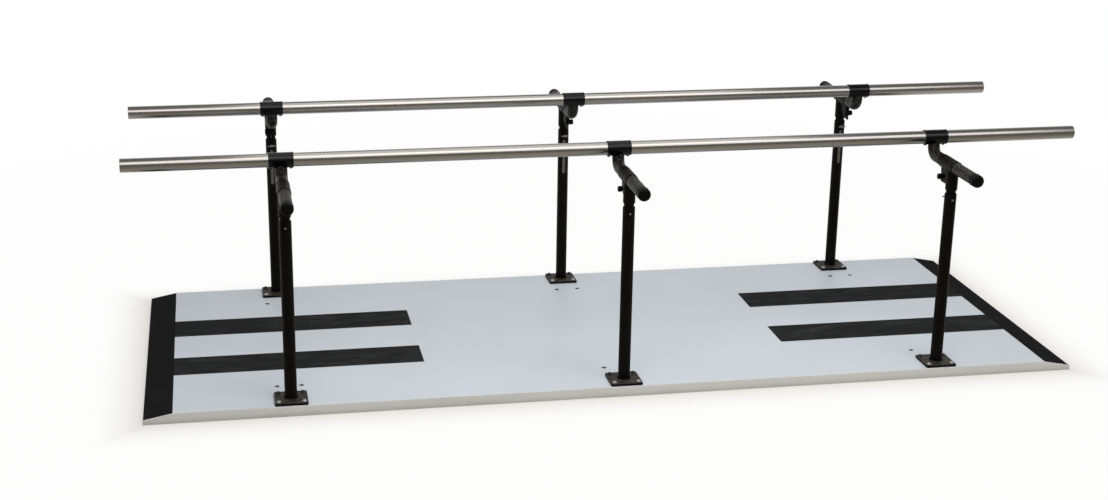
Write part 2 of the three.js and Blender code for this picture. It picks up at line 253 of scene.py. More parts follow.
def slab(outline, thickness, edge):
    """A flat plate: an outline in X and Y, raised to the thickness, with its rims rounded."""
    work = bmesh.new()
    face = work.faces.new([work.verts.new((x, y, 0)) for x, y in outline])
    raised = bmesh.ops.extrude_face_region(work, geom=[face])["geom"]
    top = [part for part in raised if isinstance(part, bmesh.types.BMVert)]
    bmesh.ops.translate(work, verts=top, vec=(0, 0, thickness))
    rims = [line for line in work.edges if abs(line.verts[0].co.z - line.verts[1].co.z) < WELD_DISTANCE]
    bmesh.ops.bevel(work, geom=rims, offset=edge, segments=BEVEL_STEPS, profile=0.5, affect="EDGES")
    mesh = bpy.data.meshes.new("slab")
    work.to_mesh(mesh)
    work.free()
    return mesh


def turned_to(mesh, axis, quarter_turns=1):
    """The mesh turned by quarter turns about an axis through the origin."""
    mesh.transform(Matrix.Rotation(quarter_turns * math.pi / 2, 4, axis))
    return mesh


def shifted(mesh, x=0.0, y=0.0, z=0.0):
    """The mesh moved by that much."""
    mesh.transform(Matrix.Translation((x, y, z)))
    return mesh


def add(name, mesh, finish, body, at=(0, 0, 0), turn=NO_TURN, stands_for=()):
    """Puts a piece in its place on its body, with its finish, for the solids that it stands for."""
    piece = bpy.data.objects.new(name, mesh)
    bpy.context.scene.collection.objects.link(piece)
    piece.location = at
    piece.rotation_euler.z = turn
    if not mesh.materials:
        mesh.materials.append(finish.material)
    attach(piece, body)
    if stands_for:
        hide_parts(*stands_for)
    return piece


TRIM_GREY = paint(214, 215, 213)
# The colour of the grime, and of the painted shade at the strip's foot.
TRIM_DIRT_AND_SHADE = paint(160, 160, 156)
SPECKLE = 0.0009
SPECKLE_RISE = 0.00004
GRIME_PATCH = 0.05
SPLASH_AND_SHADE_HEIGHT = 0.026  # how far up the strip the floor's dirt and a painted contact shade reach

trim_plastic = Finish("trim_plastic", roughness=0.5, specular=0.35)
speckle = trim_plastic.cloud(SPECKLE)
grime = trim_plastic.between(trim_plastic.cloud(GRIME_PATCH, stretch=(4, 1, 1), detail=4.0), 0.5, 0.8)
# Darker towards the strip's foot: floor dirt, and painted shade where the strip meets the floor.
low_dirt_and_shade = (1 - trim_plastic.between(trim_plastic.place("Z"), 0.0, SPLASH_AND_SHADE_HEIGHT)) ** 2
trim_plastic.wear(
    Base_Color=trim_plastic.mixed(grime * 0.25 + low_dirt_and_shade * 0.6 + speckle * 0.05, TRIM_GREY, TRIM_DIRT_AND_SHADE),
    Roughness=0.45 + grime * 0.2,
    Normal=trim_plastic.raised(speckle, SPECKLE_RISE),
)

DECK_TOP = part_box("deck_laminate")[1].z
HALF_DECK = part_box("deck_laminate")[1].x
trim_low, trim_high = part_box("edge_trim_near")
half_outline = [(trim_high.x, 0), (trim_high.x, RAMP_NOSE), (HALF_DECK, DECK_TOP)]
trim_outline = half_outline + [(-x, z) for x, z in reversed(half_outline)]
trim_width = trim_high.y - trim_low.y
trim = finished(shifted(turned_to(slab(trim_outline, trim_width, TRIM_EDGE), "X"), y=trim_width / 2))
for side in ("near", "far"):
    low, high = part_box(f"edge_trim_{side}")
    spot = (0, (low.y + high.y) / 2, 0)
    add(f"edge_strip_{side}", trim, trim_plastic, "base", spot, stands_for=[f"edge_trim_{side}"])


# Ramps and tread strips: black ribbed rubber. At each end it covers the sloping wedge, and two
# strips of it run on over the deck. The ribs lie along the bars, a groove every few millimetres.

RIB_PITCH = 0.0032
GROOVE_WIDTH = 0.0009
GROOVE_FLANK = 0.0003
GROOVE_DEPTH = 0.0005
RUBBER_EDGE = 0.0005
NOSE_EDGE = 0.004
STRIP_RISE = 0.002  # the strips are thinner than this, and the ramps rise past it
EASE_STEPS = 4


def eased(corners):
    """The outline through corners of x, y and how much of each side the corner's rounding takes."""
    points = []
    for index, (x, y, ease) in enumerate(corners):
        here = Vector((x, y))
        if not ease:
            points.append(here)
            continue
        start = here + (Vector(corners[index - 1][:2]) - here).normalized() * ease
        end = here + (Vector(corners[(index + 1) % len(corners)][:2]) - here).normalized() * ease
        for step in range(EASE_STEPS + 1):
            share = step / EASE_STEPS
            points.append(start.lerp(here, share).lerp(here.lerp(end, share), share))
    return points


def ribbed(profile, width, groove_from):
    """A moulded sheet: a profile in X and Z, drawn out along Y, grooved where it is above a height."""
    grooves = int(width / RIB_PITCH) - 1
    slices = [(-width / 2, RUBBER_EDGE), (-width / 2 + RUBBER_EDGE, 0)]
    for index in range(grooves):
        middle = (index - (grooves - 1) / 2) * RIB_PITCH
        half = GROOVE_WIDTH / 2
        slices += [(middle - half - GROOVE_FLANK, 0), (middle - half, GROOVE_DEPTH)]
        slices += [(middle + half, GROOVE_DEPTH), (middle + half + GROOVE_FLANK, 0)]
    slices += [(width / 2 - RUBBER_EDGE, 0), (width / 2, RUBBER_EDGE)]
    count = len(profile)
    points = [(x, y, z - drop * (z > groove_from)) for y, drop in slices for x, z in profile]
    faces = [list(range(count)), list(range(len(points) - count, len(points)))]
    for row in range(len(slices) - 1):
        for index in range(count):
            here, after = row * count + index, row * count + (index + 1) % count
            faces.append([here, after, after + count, here + count])
    mesh = bpy.data.meshes.new("ribbed")
    mesh.from_pydata(points, [], faces)
    return mesh


RUBBER_BLACK = paint(10, 10, 10)
RUBBER_DUST = paint(100, 101, 102)
RUBBER_GRAIN = 0.0007
RUBBER_GRAIN_RISE = 0.00006
WALKED_PATCH = 0.03

rubber = Finish("ribbed_rubber", roughness=0.9, specular=0.05)
rubber_grain = rubber.cloud(RUBBER_GRAIN)
on_slope = rubber.between(rubber.place("Z"), STRIP_RISE, RAMP_NOSE)
walked_on = rubber.between(rubber.cloud(WALKED_PATCH, stretch=(3, 1, 1), detail=5.0), 0.45, 0.85)
dust = (walked_on * 0.6 + 0.25) * (1 - on_slope * 0.9)
rubber.wear(
    Base_Color=rubber.mixed(dust * 0.33 + rubber_grain * 0.12, RUBBER_BLACK, RUBBER_DUST),
    Roughness=0.88 + dust * 0.1,
    Normal=rubber.raised(rubber_grain, RUBBER_GRAIN_RISE),
)

ramp_low, ramp_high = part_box("ramp_right")
ramp_run = ramp_high.x - HALF_DECK
ramp_profile = eased([(0, 0, 0), (ramp_run, 0, 0), (ramp_run, RAMP_NOSE, NOSE_EDGE), (0, DECK_TOP, 0)])
ramp = finished(ribbed(ramp_profile, ramp_high.y - ramp_low.y, RAMP_NOSE / 2))
for end, turn in (("left", math.pi), ("right", NO_TURN)):
    spot = (HALF_DECK * math.cos(turn), 0, 0)
    add(f"ramp_cover_{end}", ramp, rubber, "base", spot, turn, [f"ramp_{end}"])

strip_low, strip_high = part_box("tread_strip_near_left")
strip_size = strip_high - strip_low
strip_profile = eased([
    (-strip_size.x / 2, 0, 0),
    (strip_size.x / 2, 0, 0),
    (strip_size.x / 2, strip_size.z, RUBBER_EDGE),
    (-strip_size.x / 2, strip_size.z, RUBBER_EDGE),
])
strip = finished(ribbed(strip_profile, strip_size.y, strip_size.z / 3))
for side in ("near", "far"):
    for end in ("left", "right"):
        low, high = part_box(f"tread_strip_{side}_{end}")
        spot = ((low.x + high.x) / 2, (low.y + high.y) / 2, low.z)
        stands_for = [f"tread_strip_{side}_{end}"]
        add(f"tread_{side}_{end}", strip, rubber, "base", spot, NO_TURN, stands_for)


# Spare inserts: blackened threaded bushes let into the deck, two inboard of each post, to which the
# post is moved for the narrower setting. Each has a thin flange that lies on the laminate.

SIDES = 64
BOLT_SPACING = 0.0762
INSERT_INBOARD = BOLT_SPACING * 1.5  # from the post's axis
INSERT_FLANGE = 0.0076
INSERT_BORE = 0.0041
INSERT_DEPTH = 0.02
INSERT_LIP = 0.0005
AXIS_REACH = 1e-9  # a ring narrower than this is a point


def turned(corners, sides=SIDES):
    """A turned piece: a closed outline of radius, height and rounding, swept round Z."""
    points, rings = [], []
    for radius, height in eased(corners):
        first = len(points)
        if radius < AXIS_REACH:
            points.append((0, 0, height))
            rings.append([first] * sides)
            continue
        for index in range(sides):
            angle = 2 * math.pi * index / sides
            points.append((radius * math.cos(angle), radius * math.sin(angle), height))
        rings.append(list(range(first, first + sides)))
    faces = []
    for ring, after in zip(rings, rings[1:] + rings[:1]):
        for index in range(sides):
            beside = (index + 1) % sides
            face = list(dict.fromkeys([ring[index], ring[beside], after[beside], after[index]]))
            if len(face) > 2:
                faces.append(face)
    mesh = bpy.data.meshes.new("turned")
    mesh.from_pydata(points, [], faces)
    return mesh


def joined(*meshes):
    """Several meshes as one piece, seated on each other or apart, but not welded."""
    work = bmesh.new()
    for mesh in meshes:
        work.from_mesh(mesh)
    mesh = bpy.data.meshes.new("joined")
    work.to_mesh(mesh)
    work.free()
    return mesh


# A metal's colours are the shares of red, green and blue light that it mirrors.
BLACK_OXIDE = [0.030, 0.029, 0.028, 1.0]
WORN_OXIDE = [0.075, 0.073, 0.07, 1.0]
OXIDE_PATCH = 0.002

black_oxide = Finish("black_oxide", roughness=0.4, metallic=1.0)
oxide_patches = black_oxide.cloud(OXIDE_PATCH, detail=4.0)
black_oxide.wear(
    Base_Color=black_oxide.mixed(oxide_patches, BLACK_OXIDE, WORN_OXIDE),
    Roughness=0.34 + oxide_patches * 0.15,
)


def insert(x):
    """A bush with its flange, at that distance along the row inboard of the post."""
    rings = [
        (INSERT_BORE, -INSERT_DEPTH, 0),
        (INSERT_BORE + INSERT_LIP / 2, -INSERT_DEPTH, 0),
        (INSERT_BORE + INSERT_LIP / 2, INSERT_LIP / 4, 0),
        (INSERT_FLANGE, INSERT_LIP / 4, 0),
        (INSERT_FLANGE, INSERT_LIP, INSERT_LIP / 2),
        (INSERT_BORE, INSERT_LIP, INSERT_LIP / 2),
    ]
    return shifted(turned(rings), x=x, y=INSERT_INBOARD, z=DECK_TOP)


def posts():
    """Each post's side and place, the middle of its foot, and the turn that brings the rail to +Y."""
    for side, turn in (("near", NO_TURN), ("far", math.pi)):
        for place in ("left", "middle", "right"):
            low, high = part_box(f"post_{side}_{place}")
            yield side, place, Vector(((low.x + high.x) / 2, (low.y + high.y) / 2, 0)), turn


def add_at_posts(piece, mesh, finish, body, stands_for=None):
    """Puts a piece at each of the six posts. It is drawn round the post's axis, with the rail at +Y."""
    for side, place, foot, turn in posts():
        rides_on = body.format(side=side, place=place)
        solids = [f"{stands_for}_{side}_{place}"] if stands_for else []
        add(f"{piece}_{side}_{place}", mesh, finish, rides_on, foot, turn, solids)


inserts = finished(joined(insert(-BOLT_SPACING / 2), insert(BOLT_SPACING / 2)))
add_at_posts("spare_inserts", inserts, black_oxide, "base")


# Posts: a steel foot plate, a round tube welded upright on it, and near the rim, on the walkway's
# side, a welded boss for the height screw over a long slot. Black powder coat over all, with the
# dust of shoes on the plates' tops, where it also stands for painted light.

PLATE_SIZE = 0.1016
PLATE_THICKNESS = 0.008
PLATE_CORNER = 0.006
PLATE_EDGE = 0.0009
POST_RADIUS = 0.01905
POST_BORE = 0.0164
POST_EDGE = 0.0007
PLATE_BITE = 0.002  # how deep the tube is let into the plate's weld
SCREW_DROP = 0.018
BOSS_RADIUS = 0.0075
BOSS_LENGTH = 0.006
SCREW_BORE = 0.0042
WINDOW_WIDTH = 0.0127
WINDOW_LENGTH = 0.128
WINDOW_DROP = 0.033
SLOT_STEPS = 32
OVERRUN = 0.006  # how far a cutter runs past what it cuts
PLATE_TOP = DECK_TOP + PLATE_THICKNESS
POST_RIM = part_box("post_near_middle")[1].z
SCREW_Z = POST_RIM - SCREW_DROP


def combined(operation, mesh, others):
    """The mesh with the others welded to it or cut out of it."""
    helpers = [bpy.data.objects.new("helper", other) for other in others]

    def add_steps(piece):
        for helper in helpers:
            bpy.context.scene.collection.objects.link(helper)
            step = piece.modifiers.new("step", "BOOLEAN")
            step.operation = operation
            step.solver = "EXACT"
            step.object = helper

    result = worked(mesh, add_steps)
    for helper in helpers:
        bpy.data.objects.remove(helper)
    return result


def welded(mesh, *others):
    """One solid of all the meshes."""
    return combined("UNION", mesh, others)


def cut(mesh, *others):
    """The mesh without the room that the others fill."""
    return combined("DIFFERENCE", mesh, others)


def rod(radius, start, end, edge=0.0, sides=SIDES):
    """A round bar up Z from start to end, its rims rounded."""
    return turned([(0, start, 0), (radius, start, edge), (radius, end, edge), (0, end, 0)], sides)


def stadium(length, width):
    """The outline of a slot along X with round ends."""
    points = []
    for index in range(SLOT_STEPS):
        angle = 2 * math.pi * index / SLOT_STEPS
        reach = math.copysign((length - width) / 2, math.cos(angle))
        points.append((reach + width / 2 * math.cos(angle), width / 2 * math.sin(angle)))
    return points


def post_body():
    """Foot plate, tube and boss as one piece, bored for the screw and slotted."""
    half = PLATE_SIZE / 2
    corners = [(-half, -half), (half, -half), (half, half), (-half, half)]
    outline = eased([(x, y, PLATE_CORNER) for x, y in corners])
    plate = shifted(slab(outline, PLATE_THICKNESS, PLATE_EDGE), z=DECK_TOP)
    foot = PLATE_TOP - PLATE_BITE
    tube = turned([
        (POST_BORE, foot, 0),
        (POST_RADIUS, foot, 0),
        (POST_RADIUS, POST_RIM, POST_EDGE),
        (POST_BORE, POST_RIM, POST_EDGE),
    ])
    reach = POST_RADIUS + BOSS_LENGTH
    boss = turned_to(rod(BOSS_RADIUS, -reach, -(POST_BORE + POST_RADIUS) / 2, POST_EDGE), "X")
    bore = turned_to(rod(SCREW_BORE, -reach - OVERRUN, 0), "X")
    window = turned_to(turned_to(slab(stadium(WINDOW_LENGTH, WINDOW_WIDTH), reach, 0.0), "Y"), "Z")
    window_z = POST_RIM - WINDOW_DROP - WINDOW_LENGTH / 2
    body = welded(plate, tube, shifted(boss, z=SCREW_Z))
    return finished(cut(body, shifted(bore, z=SCREW_Z), shifted(window, z=window_z)))


BEAD_RADIUS = 0.003
BEAD_SIDES = 12
RIPPLE_STEPS = 6
RIPPLE_SHARE = 0.14
FOOT_RIPPLES = 44


def ridge(path, radius, ripples):
    """A weld bead along a closed path round Z, with the small ripples of its pools."""
    steps = ripples * RIPPLE_STEPS
    points = []
    for index in range(steps):
        angle = 2 * math.pi * index / steps
        middle, ahead = path(angle), path(angle + 2 * math.pi / steps)
        outward = Vector((math.cos(angle), math.sin(angle), 0))
        across = (ahead - middle).cross(outward).normalized()
        pool = radius * (1 + RIPPLE_SHARE * math.cos(ripples * angle))
        for side in range(BEAD_SIDES):
            turn = 2 * math.pi * side / BEAD_SIDES
            points.append(middle + pool * (math.cos(turn) * outward + math.sin(turn) * across))
    faces = []
    for index in range(steps):
        row, after = index * BEAD_SIDES, (index + 1) % steps * BEAD_SIDES
        for side in range(BEAD_SIDES):
            beside = (side + 1) % BEAD_SIDES
            faces.append([row + side, row + beside, after + beside, after + side])
    mesh = bpy.data.meshes.new("ridge")
    mesh.from_pydata(points, [], faces)
    return finished(mesh)


def foot_line(angle):
    """The line on which the tube meets the foot plate."""
    return Vector((POST_RADIUS * math.cos(angle), POST_RADIUS * math.sin(angle), PLATE_TOP))


POWDER_BLACK = paint(9, 8, 6)
POWDER_WORN = paint(22, 19, 16)
# The colour of the shoe dust on the foot plates, which also serves as painted light on their tops.
SHOE_DUST_AND_TOP_LIGHT = paint(78, 73, 66)
ORANGE_PEEL = 0.0016
ORANGE_PEEL_RISE = 0.00005
RUBBED_PATCH = 0.02
DUST_AND_LIGHT_PATCH = 0.02


def powder(name):
    """A black powder coat, rubbed here and there, and its colour before any dust or painted light lies on
    it.
    """
    coat = Finish(name, roughness=0.5, specular=0.06)
    orange_peel = coat.cloud(ORANGE_PEEL)
    rubbed = coat.between(coat.cloud(RUBBED_PATCH, stretch=(1, 1, 3), detail=5.0), 0.5, 0.8)
    coat.wear(Roughness=0.5 - rubbed * 0.12, Normal=coat.raised(orange_peel, ORANGE_PEEL_RISE))
    return coat, coat.mixed(rubbed * 0.6 + orange_peel * 0.1, POWDER_BLACK, POWDER_WORN)


powder_coat, coat_colour = powder("powder_coat")
height = powder_coat.place("Z")
over_edge = powder_coat.between(height, PLATE_TOP - PLATE_EDGE, PLATE_TOP)
on_plate = over_edge * (1 - powder_coat.between(height, PLATE_TOP + PLATE_EDGE, PLATE_TOP + PLATE_BITE))
# Shoe dust on the foot plates' tops, strong enough to stand in for the light on them too: partly painted
# light.
dust_and_top_light = on_plate * powder_coat.between(powder_coat.cloud(DUST_AND_LIGHT_PATCH, detail=4.0), 0.25, 0.6)
powder_coat.wear(Base_Color=powder_coat.mixed(dust_and_top_light * 0.65, coat_colour, SHOE_DUST_AND_TOP_LIGHT))

add_at_posts("post_body", post_body(), powder_coat, "base", "post")
foot_weld = ridge(foot_line, BEAD_RADIUS, FOOT_RIPPLES)
add_at_posts("foot_weld", foot_weld, powder_coat, "base")


# Plate bolts: four button-head screws with washers hold each foot plate to the deck. The pair towards
# the near side is bright zinc, and the pair behind the tube is blackened.

BOLT_HEAD_RADIUS = 0.006
BOLT_HEAD_HEIGHT = 0.0042
SOCKET_WIDTH = 0.0052
SOCKET_DEPTH = 0.0026
SOCKET_SIDES = 6
WASHER_RADIUS = 0.0075
WASHER_BORE = 0.0043
WASHER_THICKNESS = 0.0015
WASHER_EDGE = 0.0004
SHANK_RADIUS = 0.004
SHANK_LENGTH = 0.024


def button_screw(head_radius, head_height, shank_length):
    """A screw that points down, its domed head standing on the origin, with a hexagonal socket."""
    rim = head_height / 4
    dome = [(head_radius, 0, 0), (head_radius, rim, 0)]
    for step in range(1, EASE_STEPS + 1):
        angle = math.pi / 2 * step / (EASE_STEPS + 1)
        rise = rim + head_height * 3 / 4 * math.sin(angle)
        dome.append((head_radius * (1 + math.cos(angle)) / 2, rise, 0))
    shank = min(SHANK_RADIUS, head_radius / 2)
    stem = [(0, -shank_length, 0), (shank, -shank_length, shank / 4), (shank, 0, 0)]
    head = turned(stem + dome + [(head_radius / 2, head_height, 0), (0, head_height, 0)])
    share = head_radius / BOLT_HEAD_RADIUS
    depth = SOCKET_DEPTH * share
    socket = rod(SOCKET_WIDTH / 2 * share, head_height - depth, head_height + OVERRUN, sides=SOCKET_SIDES)
    return cut(head, socket)


def washer():
    """A flat washer that lies on the origin."""
    return turned([
        (WASHER_BORE, 0, 0),
        (WASHER_RADIUS, 0, WASHER_EDGE),
        (WASHER_RADIUS, WASHER_THICKNESS, WASHER_EDGE),
        (WASHER_BORE, WASHER_THICKNESS, 0),
    ])


ZINC_BRIGHT = [0.55, 0.55, 0.53, 1.0]
ZINC_DULL = [0.40, 0.40, 0.38, 1.0]
SPANGLE = 0.0025
ZINC_GRAIN = 0.0006
ZINC_GRAIN_RISE = 0.00001


def zinc_plate(name, bright, dull):
    """Zinc plate with a faint spangle between two tones."""
    plate = Finish(name, roughness=0.32, metallic=1.0)
    spangle = plate.cloud(SPANGLE, detail=4.0)
    plate.wear(
        Base_Color=plate.mixed(plate.between(spangle, 0.35, 0.65), bright, dull),
        Roughness=0.24 + spangle * 0.18,
        Normal=plate.raised(plate.cloud(ZINC_GRAIN), ZINC_GRAIN_RISE),
    )
    return plate


zinc = zinc_plate("zinc_plate", ZINC_BRIGHT, ZINC_DULL)


def bolt_pair():
    """Two screws on their washers, a bolt spacing apart, on the foot plate."""
    pair = []
    for x in (-BOLT_SPACING / 2, BOLT_SPACING / 2):
        screw = shifted(button_screw(BOLT_HEAD_RADIUS, BOLT_HEAD_HEIGHT, SHANK_LENGTH), z=WASHER_THICKNESS)
        pair += [shifted(mesh, x=x, z=PLATE_TOP) for mesh in (screw, washer())]
    return finished(joined(*pair))


front_pair = bolt_pair()
back_pair = front_pair.copy()
across = Vector((0, BOLT_SPACING / 2, 0))
for side, place, foot, _turn in posts():
    add(f"front_bolts_{side}_{place}", front_pair, zinc, "base", foot - across)
    add(f"back_bolts_{side}_{place}", back_pair, black_oxide, "base", foot + across)


# Guide bush and guide screw: a thin black plastic bush lines the post's rim, and a small screw of
# aged zinc through the outboard face keeps the lift tube from turning.

LIFT_RADIUS = 0.015735
LIFT_FIT = 0.0001
BUSH_DEPTH = 0.025
BUSH_LIP = 0.0003
GUIDE_HEAD_RADIUS = 0.0033
GUIDE_HEAD_HEIGHT = 0.0022
GUIDE_SHANK = 0.0025

MOULDED_BLACK = paint(6, 6, 6)
MOULDED_WORN = paint(15, 15, 15)
SPARK_GRAIN = 0.0008
SPARK_GRAIN_RISE = 0.00005
HANDLED_PATCH = 0.012

moulded_plastic = Finish("moulded_plastic", roughness=0.5, specular=0.06)
spark_grain = moulded_plastic.cloud(SPARK_GRAIN)
handled = moulded_plastic.between(moulded_plastic.cloud(HANDLED_PATCH, detail=4.0), 0.45, 0.8)
moulded_plastic.wear(
    Base_Color=moulded_plastic.mixed(handled * 0.6 + spark_grain * 0.2, MOULDED_BLACK, MOULDED_WORN),
    Roughness=0.5 - handled * 0.14,
    Normal=moulded_plastic.raised(spark_grain, SPARK_GRAIN_RISE),
)

bush_bore = LIFT_RADIUS + LIFT_FIT
bush_radius = POST_BORE - LIFT_FIT
guide_bush = finished(turned([
    (bush_bore, POST_RIM - BUSH_DEPTH, 0),
    (bush_radius, POST_RIM - BUSH_DEPTH, 0),
    (bush_radius, POST_RIM, 0),
    (bush_radius, POST_RIM + BUSH_LIP, 0),
    (bush_bore, POST_RIM + BUSH_LIP, 0),
]))
add_at_posts("guide_bush", guide_bush, moulded_plastic, "base")

AGED_BRIGHT = [0.29, 0.285, 0.27, 1.0]
AGED_DULL = [0.21, 0.205, 0.195, 1.0]

aged_zinc = zinc_plate("aged_zinc_plate", AGED_BRIGHT, AGED_DULL)
guide_screw = turned_to(button_screw(GUIDE_HEAD_RADIUS, GUIDE_HEAD_HEIGHT, GUIDE_SHANK), "X")
guide_screw = finished(shifted(guide_screw, y=-POST_RADIUS, z=SCREW_Z))
add_at_posts("guide_screw", guide_screw, aged_zinc, "base")


# Height screws: a screw of aged zinc with a cross bar, turned by hand through the boss until its tip
# presses on the lift tube and holds the handrail at its height.

THREAD_RADIUS = 0.004
THREAD_DEPTH = 0.0005
THREAD_PITCH = 0.00125
GRIP_LENGTH = 0.026
GRIP_WIDTH = 0.0045
GRIP_DEPTH = 0.0045
GRIP_NECK = 0.004
GRIP_EDGE = 0.0012
GRIP_HUB_RADIUS = 0.005
GRIP_HUB_EDGE = 0.0003
TIP_GAP = 0.0003


def threaded(start, end):
    """A threaded rod up Z."""
    corners = [(0, start, 0)]
    for turn in range(int((end - start) / THREAD_PITCH)):
        foot = start + turn * THREAD_PITCH
        corners += [(THREAD_RADIUS - THREAD_DEPTH, foot, 0), (THREAD_RADIUS, foot + THREAD_PITCH / 2, 0)]
    return turned(corners + [(THREAD_RADIUS - THREAD_DEPTH, end, 0), (0, end, 0)])


def along_y(mesh):
    """A mesh drawn up Z, laid along +Y."""
    return turned_to(mesh, "X", -1)


def height_screw():
    """The screw with its hub and cross bar, laid through the boss."""
    tip = LIFT_RADIUS + TIP_GAP
    grip = POST_RADIUS + BOSS_LENGTH + GRIP_NECK
    bar = shifted(slab(stadium(GRIP_LENGTH, GRIP_WIDTH), GRIP_DEPTH, GRIP_EDGE), z=grip)
    hub = rod(GRIP_HUB_RADIUS, grip - GRIP_NECK / 2, grip + GRIP_DEPTH / 2, GRIP_HUB_EDGE)
    whole = welded(threaded(tip, grip + GRIP_NECK), hub, bar)
    return finished(shifted(along_y(whole), z=SCREW_Z))


screw_body = "height_screw_{side}_{place}"
add_at_posts("clamping_screw", height_screw(), aged_zinc, screw_body, "height_screw")


# Lifts: the grey tube that slides in the post, with a socket and a split collar, both coated black,
# welded across its top. Two lugs under the collar, one on each side of its slit, draw it tight on
# the arm.

ARM_RADIUS = 0.01905
arm_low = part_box("arm_near_middle")[0]
ARM_Z = arm_low.z + ARM_RADIUS
LIFT_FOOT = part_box("lift_near_middle")[0].z
LIFT_WALL = 0.0022
SOCKET_DROP = 0.076
SOCKET_EDGE = 0.0014
COLLAR_BORE = 0.0194
COLLAR_WALL = 0.0017
COLLAR_RADIUS = COLLAR_BORE + COLLAR_WALL
COLLAR_OUTBOARD = 0.028
COLLAR_INBOARD = 0.076
COLLAR_EDGE = 0.0011
LUG_THICKNESS = 0.0055
LUG_SLIT = 0.003
LUG_RADIUS = 0.0105
LUG_EDGE = 0.001
LUG_ARC_START = 1.2  # in half turns, as its sweep is
LUG_ARC_SWEEP = 0.8
LUG_ARC_STEPS = 16
LUG_INBOARD = 0.060
KNOB_DROP = 0.048
KNOB_Z = ARM_Z - KNOB_DROP
COLLAR_BEAD_RADIUS = BEAD_RADIUS / 2
COLLAR_RIPPLES = 40


def lug_outline():
    """In Y and Z: from the post to the collar's end, round the knob's screw."""
    inner = POST_RADIUS / 2
    points = [(inner, ARM_Z - COLLAR_BORE), (inner, KNOB_Z + LUG_RADIUS / 2)]
    for step in range(LUG_ARC_STEPS):
        angle = math.pi * (LUG_ARC_START + LUG_ARC_SWEEP * step / (LUG_ARC_STEPS - 1))
        points.append((LUG_INBOARD + LUG_RADIUS * math.cos(angle), KNOB_Z + LUG_RADIUS * math.sin(angle)))
    points.append((COLLAR_INBOARD - COLLAR_EDGE, ARM_Z - COLLAR_BORE))
    return points


def along_x(mesh):
    """A mesh drawn up Z, laid along +X."""
    return turned_to(mesh, "Y")


def across_bars(outline, thickness, edge):
    """A plate drawn in Y and Z, centred on the post's axis in X."""
    plate = turned_to(turned_to(slab(outline, thickness, edge), "X"), "Z")
    return shifted(plate, x=-thickness / 2)


def block(size, at):
    """A plain block of that size round a point."""
    work = bmesh.new()
    bmesh.ops.create_cube(work, size=1.0)
    bmesh.ops.scale(work, verts=work.verts, vec=size)
    mesh = bpy.data.meshes.new("block")
    work.to_mesh(mesh)
    work.free()
    return shifted(mesh, *at)


def lift():
    """Tube, socket, split collar and lugs as one piece, bored for the arm and the knob's screw."""
    socket = rod(POST_RADIUS, ARM_Z - SOCKET_DROP, ARM_Z, SOCKET_EDGE)
    inner = rod(LIFT_RADIUS, LIFT_FOOT, ARM_Z)
    collar = shifted(along_y(rod(COLLAR_RADIUS, -COLLAR_OUTBOARD, COLLAR_INBOARD, COLLAR_EDGE)), z=ARM_Z)
    lug_width = 2 * LUG_THICKNESS + LUG_SLIT
    lugs = across_bars(lug_outline(), lug_width, LUG_EDGE)
    arm_bore = along_y(rod(COLLAR_BORE, -COLLAR_OUTBOARD - OVERRUN, COLLAR_INBOARD + OVERRUN))
    slit_start = POST_RADIUS + LIFT_WALL
    slit_length = COLLAR_INBOARD - slit_start + OVERRUN
    slit_depth = COLLAR_RADIUS + KNOB_DROP
    slit_middle = (0, slit_start + slit_length / 2, ARM_Z - slit_depth / 2)
    cutters = [
        rod(LIFT_RADIUS - LIFT_WALL, LIFT_FOOT - OVERRUN, ARM_Z),
        shifted(arm_bore, z=ARM_Z),
        block((LUG_SLIT, slit_length, slit_depth), slit_middle),
        shifted(along_x(rod(SCREW_BORE, -lug_width, lug_width)), y=LUG_INBOARD, z=KNOB_Z),
    ]
    return finished(cut(welded(inner, socket, collar, lugs), *cutters))


def saddle(angle):
    """The line on which the upright socket meets the collar's underside."""
    x, y = POST_RADIUS * math.cos(angle), POST_RADIUS * math.sin(angle)
    return Vector((x, y, ARM_Z - math.sqrt(COLLAR_RADIUS ** 2 - x ** 2)))


TUBE_GREY = paint(92, 91, 88)

lift_coat, head_colour = powder("lift_coat")
below_socket = 1 - lift_coat.between(lift_coat.place("Z"), POST_RIM - BUSH_DEPTH, POST_RIM)
lift_coat.wear(Base_Color=lift_coat.mixed(below_socket, head_colour, TUBE_GREY))
add_at_posts("lift_head", lift(), lift_coat, "{side}_lift", "lift")
collar_weld = ridge(saddle, COLLAR_BEAD_RADIUS, COLLAR_RIPPLES)
add_at_posts("collar_weld", collar_weld, lift_coat, "{side}_lift")


# Width knobs: a small lobed plastic knob moulded on a screw, which passes through both lugs and
# draws the collar tight. It sits on the left of the lugs or on their right.

KNOB_RADIUS = 0.0095
KNOB_LENGTH = 0.0145
KNOB_LOBES = 6
KNOB_FLUTE = 0.0012
KNOB_EDGE = 0.0022
KNOB_STEPS = 96
KNOB_HUB_RADIUS = 0.0065
KNOB_HUB = 0.002
KNOB_HUB_EDGE = 0.0003
KNOB_GAP = 0.0003


def width_knob(direction):
    """The knob on its screw, drawn up Z and laid along X in one direction or the other."""
    seat = LUG_THICKNESS + LUG_SLIT / 2 + KNOB_GAP
    outline = []
    for step in range(KNOB_STEPS):
        angle = 2 * math.pi * step / KNOB_STEPS
        reach = KNOB_RADIUS - KNOB_FLUTE * (1 - math.cos(KNOB_LOBES * angle)) / 2
        outline.append((reach * math.cos(angle), reach * math.sin(angle)))
    grip = shifted(slab(outline, KNOB_LENGTH - KNOB_HUB, KNOB_EDGE), z=seat + KNOB_HUB)
    hub = rod(KNOB_HUB_RADIUS, seat, seat + KNOB_LENGTH / 2, KNOB_HUB_EDGE)
    knob = turned_to(welded(threaded(-seat, seat + KNOB_HUB), hub, grip), "Y", direction)
    return finished(shifted(knob, y=LUG_INBOARD, z=KNOB_Z))


